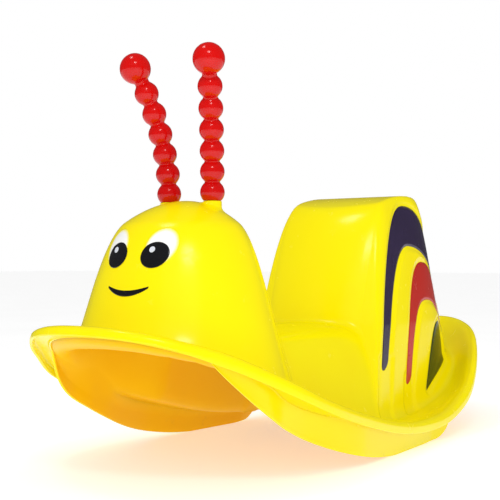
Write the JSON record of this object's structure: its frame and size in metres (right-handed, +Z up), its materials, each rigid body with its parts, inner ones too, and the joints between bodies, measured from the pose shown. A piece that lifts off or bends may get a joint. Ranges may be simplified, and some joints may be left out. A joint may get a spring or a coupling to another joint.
{
  "type": "snail rocker seesaw",
  "caption": "One-piece moulded snail seesaw rocker with arched runners, a shell backrest and two beaded grab handles.",
  "frame": {"origin": "on the floor, under the middle of the object's length and width", "axes": "+Z up, the snail faces -Y, its left side is +X"},
  "size_m": [0.4588, 1.039, 0.5997],
  "materials": {
    "body_yellow": "gloss",
    "handle_red": "gloss",
    "insert_brass": "knurled, plain",
    "fastener_steel": "zinc plated",
    "film_white": "satin film",
    "film_black": "satin film",
    "film_purple": "satin film",
    "film_red": "satin film",
    "film_green": "satin film"
  },
  "bodies": {
    "root": {"body_shell": "body_yellow", "antenna_left": "handle_red", "antenna_right": "handle_red", "antenna_insert_left": "insert_brass", "antenna_insert_right": "insert_brass", "antenna_washer_left": "fastener_steel", "antenna_washer_right": "fastener_steel", "antenna_screw_left": "fastener_steel", "antenna_screw_right": "fastener_steel", "eye_white_left": "film_white", "eye_white_right": "film_white", "eye_glint_left": "film_white", "eye_glint_right": "film_white", "eye_pupil_left": "film_black", "eye_pupil_right": "film_black", "mouth": "film_black", "stripe_purple_left": "film_purple", "stripe_purple_right": "film_purple", "stripe_red_left": "film_red", "stripe_red_right": "film_red", "stripe_green_left": "film_green", "stripe_green_right": "film_green"}
  },
  "joints": []
}
